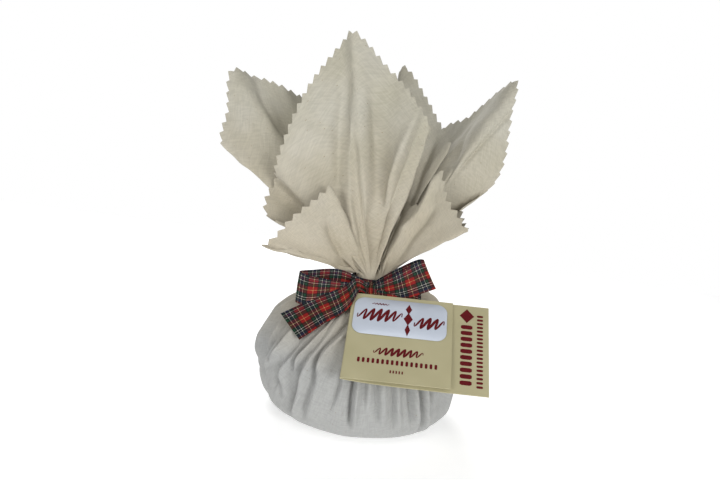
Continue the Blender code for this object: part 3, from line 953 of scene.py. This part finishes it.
# Stripes along the ribbon, as shares of their repeat, which is in millimetres
TARTAN_REPEAT = 15.6
TARTAN_ALONG = (
    (0.0, RED),
    (0.17, YELLOW),
    (0.19, RED),
    (0.36, BLACK),
    (0.4, GREEN),
    (0.48, BLACK),
    (0.52, WHITE),
    (0.54, BLACK),
    (0.58, NAVY),
    (0.66, BLACK),
    (0.7, WHITE),
    (0.72, BLACK),
    (0.78, GREEN),
    (0.88, BLACK),
    (0.93, RED),
)


def tartan():
    """Woven polyester tartan ribbon: crossed stripes that show through each other, with a low silky gloss."""
    made, tree, shader = new_material(
        "woven tartan ribbon", 0.68, Sheen_Weight=0.04, Sheen_Roughness=0.4, Specular_IOR_Level=0.25
    )
    uv = add_node(tree, "TexCoord").outputs["UV"]
    split = add_node(tree, "SeparateXYZ", {0: uv})
    share = add_node(
        tree, "Math", {0: split.outputs[1], 1: 1 / (RIBBON_WIDTH * MM), 2: 0.5}, operation="MULTIPLY_ADD"
    ).outputs[0]
    cycle = add_node(
        tree, "Math", {0: split.outputs[0], 1: 1 / (TARTAN_REPEAT * MM)}, operation="MULTIPLY"
    ).outputs[0]
    cycle = add_node(tree, "Math", {0: cycle}, operation="FRACT").outputs[0]
    stripes = []
    for value, stops in ((share, TARTAN_ACROSS), (cycle, TARTAN_ALONG)):
        ramp = add_node(tree, "ValToRGB", {"Fac": value}, stops)
        ramp.color_ramp.interpolation = "CONSTANT"
        stripes.append(ramp.outputs["Color"])
    # Twill lines lie 0.5 mm apart, and are drawn 2 mm apart so that they show
    lie = add_node(tree, "Mapping", {"Vector": uv, "Rotation": (0, 0, np.pi / 4)}).outputs[0]
    twill = add_node(tree, "TexWave", {"Vector": lie, "Scale": 160.0, "Distortion": 0.4}).outputs["Fac"]
    blend = add_node(tree, "MapRange", {0: twill, 3: 0.36, 4: 0.64}).outputs[0]
    tone = add_node(tree, "Mix", {0: blend, 6: stripes[0], 7: stripes[1]}, data_type="RGBA").outputs[2]
    # Where two colours cross the darker one prevails, so only like on like shows at full strength
    deep = add_node(
        tree, "Mix", {0: 1.0, 6: stripes[0], 7: stripes[1]}, data_type="RGBA", blend_type="DARKEN"
    ).outputs[2]
    tone = add_node(tree, "Mix", {0: 0.6, 6: tone, 7: deep}, data_type="RGBA").outputs[2]
    tree.links.new(tone, shader.inputs["Base Color"])
    bump = add_node(tree, "Bump", {"Strength": 0.4, "Distance": 0.0003, "Height": twill})
    tree.links.new(bump.outputs[0], shader.inputs["Normal"])
    return made


def card_stock():
    """Khaki-cream printed card: smooth, half matt, and faintly mottled by its fibres."""
    made, tree, shader = new_material("khaki cream card", 0.5)
    uv = add_node(tree, "TexCoord").outputs["UV"]
    # Fibres are about 1 mm long, and the mottle is 35 mm across
    grain = add_node(tree, "TexNoise", {"Vector": uv, "Scale": 900.0, "Detail": 2.0}).outputs["Fac"]
    cloud = add_node(tree, "TexNoise", {"Vector": uv, "Scale": 28.0, "Detail": 2.0}).outputs["Fac"]
    tone = add_node(tree, "ValToRGB", {"Fac": cloud}, ((0.35, "#AAA380"), (0.65, "#B3AC89"))).outputs["Color"]
    tree.links.new(tone, shader.inputs["Base Color"])
    bump = add_node(tree, "Bump", {"Strength": 0.12, "Distance": 0.0001, "Height": grain})
    tree.links.new(bump.outputs[0], shader.inputs["Normal"])
    return made


def label_paper():
    """Pale blue-white label paper, lightly coated, with a very fine tooth."""
    made, tree, shader = new_material("pale label paper", 0.38)
    uv = add_node(tree, "TexCoord").outputs["UV"]
    # Its coating is uneven in patches 25 mm across, over a tooth of 0.8 mm
    cloud = add_node(tree, "TexNoise", {"Vector": uv, "Scale": 40.0, "Detail": 2.0}).outputs["Fac"]
    tone = add_node(tree, "ValToRGB", {"Fac": cloud}, ((0.3, "#B9C1CD"), (0.7, "#C2C9D5"))).outputs["Color"]
    tree.links.new(tone, shader.inputs["Base Color"])
    grain = add_node(tree, "TexNoise", {"Vector": uv, "Scale": 1200.0}).outputs["Fac"]
    bump = add_node(tree, "Bump", {"Strength": 0.08, "Distance": 0.0001, "Height": grain})
    tree.links.new(bump.outputs[0], shader.inputs["Normal"])
    return made


def maroon_ink():
    """Maroon printing ink: matt, and a little uneven in patches of 2 mm where it sank into the paper."""
    made, tree, shader = new_material("maroon ink", 0.6, Specular_IOR_Level=0.15)
    uv = add_node(tree, "TexCoord").outputs["UV"]
    patch = add_node(tree, "TexNoise", {"Vector": uv, "Scale": 500.0, "Detail": 2.0}).outputs["Fac"]
    tone = add_node(tree, "ValToRGB", {"Fac": patch}, ((0.3, "#560F15"), (0.7, "#66161D"))).outputs["Color"]
    tree.links.new(tone, shader.inputs["Base Color"])
    return made


# ---------------------------------------------------------------- stage, light and camera


# The floor's side in metres, and how much it glows so that it stays white
FLOOR_SIZE = 1.3
FLOOR_GLOW = 0.42
# How much light the white surround gives, against how white it looks
SURROUND_LIGHT = 0.28
# Lamps: place and size in metres and power in watts, all turned to one point
LAMPS_AIM = (0, 0, 0.12)
LAMPS = (
    ("key", (0.61, -1.06, 0.38), 0.4, 6.4),
    ("left fill", (-0.61, -1.06, 0.38), 0.4, 3.6),
    ("front top", (0.0, -0.93, 0.96), 0.4, 2.2),
    ("back", (-0.3, 1.0, 0.7), 0.6, 8.0),
)
# The camera's place in metres, and its lens in millimetres
CAMERA_PLACE = (-0.01144, -0.48712, 0.21532)
CAMERA_TILT = np.radians(10)
CAMERA_LEAN = np.radians(7.5)
CAMERA_LENS = 33.925


def stage():
    """A white floor that glows a little, an even white surround and four soft lamps."""
    bpy.ops.mesh.primitive_plane_add(size=FLOOR_SIZE)
    floor = bpy.context.object
    floor.name = "floor"
    made, _, shader = new_material("white floor", 0.9)
    shader.inputs["Base Color"].default_value = linear("#FAFAFA")
    shader.inputs["Emission Color"].default_value = (1, 1, 1, 1)
    shader.inputs["Emission Strength"].default_value = FLOOR_GLOW
    floor.data.materials.append(made)
    world = bpy.data.worlds.new("white surround")
    bpy.context.scene.world = world
    world.use_nodes = True
    tree = world.node_tree
    seen = add_node(tree, "LightPath").outputs["Is Camera Ray"]
    strength = add_node(tree, "MapRange", {0: seen, 3: SURROUND_LIGHT, 4: 1.0}).outputs[0]
    back = tree.nodes["Background"]
    back.inputs["Color"].default_value = (1, 1, 1, 1)
    tree.links.new(strength, back.inputs["Strength"])
    for name, place, size, power in LAMPS:
        lamp = bpy.data.lights.new(name, "AREA")
        lamp.size = size
        lamp.energy = power
        made = bpy.data.objects.new(name, lamp)
        bpy.context.scene.collection.objects.link(made)
        made.location = place
        made.rotation_euler = (Vector(LAMPS_AIM) - Vector(place)).to_track_quat("-Z", "Y").to_euler()


def camera():
    """The camera stands in front, looks a little down, and leans to its left."""
    right = np.array([1, 0, 0])
    up = np.array([0, np.sin(CAMERA_TILT), np.cos(CAMERA_TILT)])
    back = np.array([0, -np.cos(CAMERA_TILT), np.sin(CAMERA_TILT)])
    side = np.cos(CAMERA_LEAN) * right + np.sin(CAMERA_LEAN) * up
    head = np.cos(CAMERA_LEAN) * up - np.sin(CAMERA_LEAN) * right
    turn = Matrix(np.stack([side, head, back], axis=1).tolist()).to_4x4()
    made = bpy.data.objects.new("camera", bpy.data.cameras.new("camera"))
    made.data.lens = CAMERA_LENS
    made.data.sensor_width = 36
    made.data.clip_start = 0.01
    made.matrix_world = Matrix.Translation(CAMERA_PLACE) @ turn
    bpy.context.scene.collection.objects.link(made)
    bpy.context.scene.camera = made


# ---------------------------------------------------------------- the pudding


def build():
    """Sets the scene and makes every piece. Numbers beside a route are how far along its roll it starts."""
    camera()
    stage()
    bpy.context.scene.view_settings.view_transform = "Standard"
    cloth = add_piece("calico_cloth", [bag_grid(), flare_grid()], calico(), ["wrapped_pudding"])
    routes = ((LEFT_LOOP, 2.0), (RIGHT_LOOP, 5.0), (LEFT_TAIL, 9.0), (RIGHT_TAIL, 3.0))
    bow = [ribbon_band(), ribbon_knot(), *(ribbon_strip(route, start) for route, start in routes)]
    add_piece("tartan_bow", bow, tartan(), ["ribbon_bow"], 50)
    add_piece("card_tag", [folded_card()], card_stock(), ["gift_tag"], 35)
    add_piece("tag_paper", [label_card()], label_paper(), ["tag_label"], 50)
    marks = maroon_ink()
    label_print = [scroll(*sizes, label_face) for sizes in LABEL_SCROLLS]
    label_print += [lozenge(*sizes, label_face) for sizes in LABEL_DIAMONDS]
    add_piece("label_ornament", label_print, marks, [], 50)
    card_print = [scroll(*FRONT_SCROLL, front_face)]
    card_print += [stroke for sizes in FRONT_BARS for stroke in bar_row(*sizes, front_face)]
    card_print += [lozenge(*BACK_DIAMOND, back_face)]
    card_print += [stroke for sizes in BACK_BARS for stroke in bar_row(*sizes, back_face)]
    add_piece("card_ornament", card_print, marks, [], 50)


build()
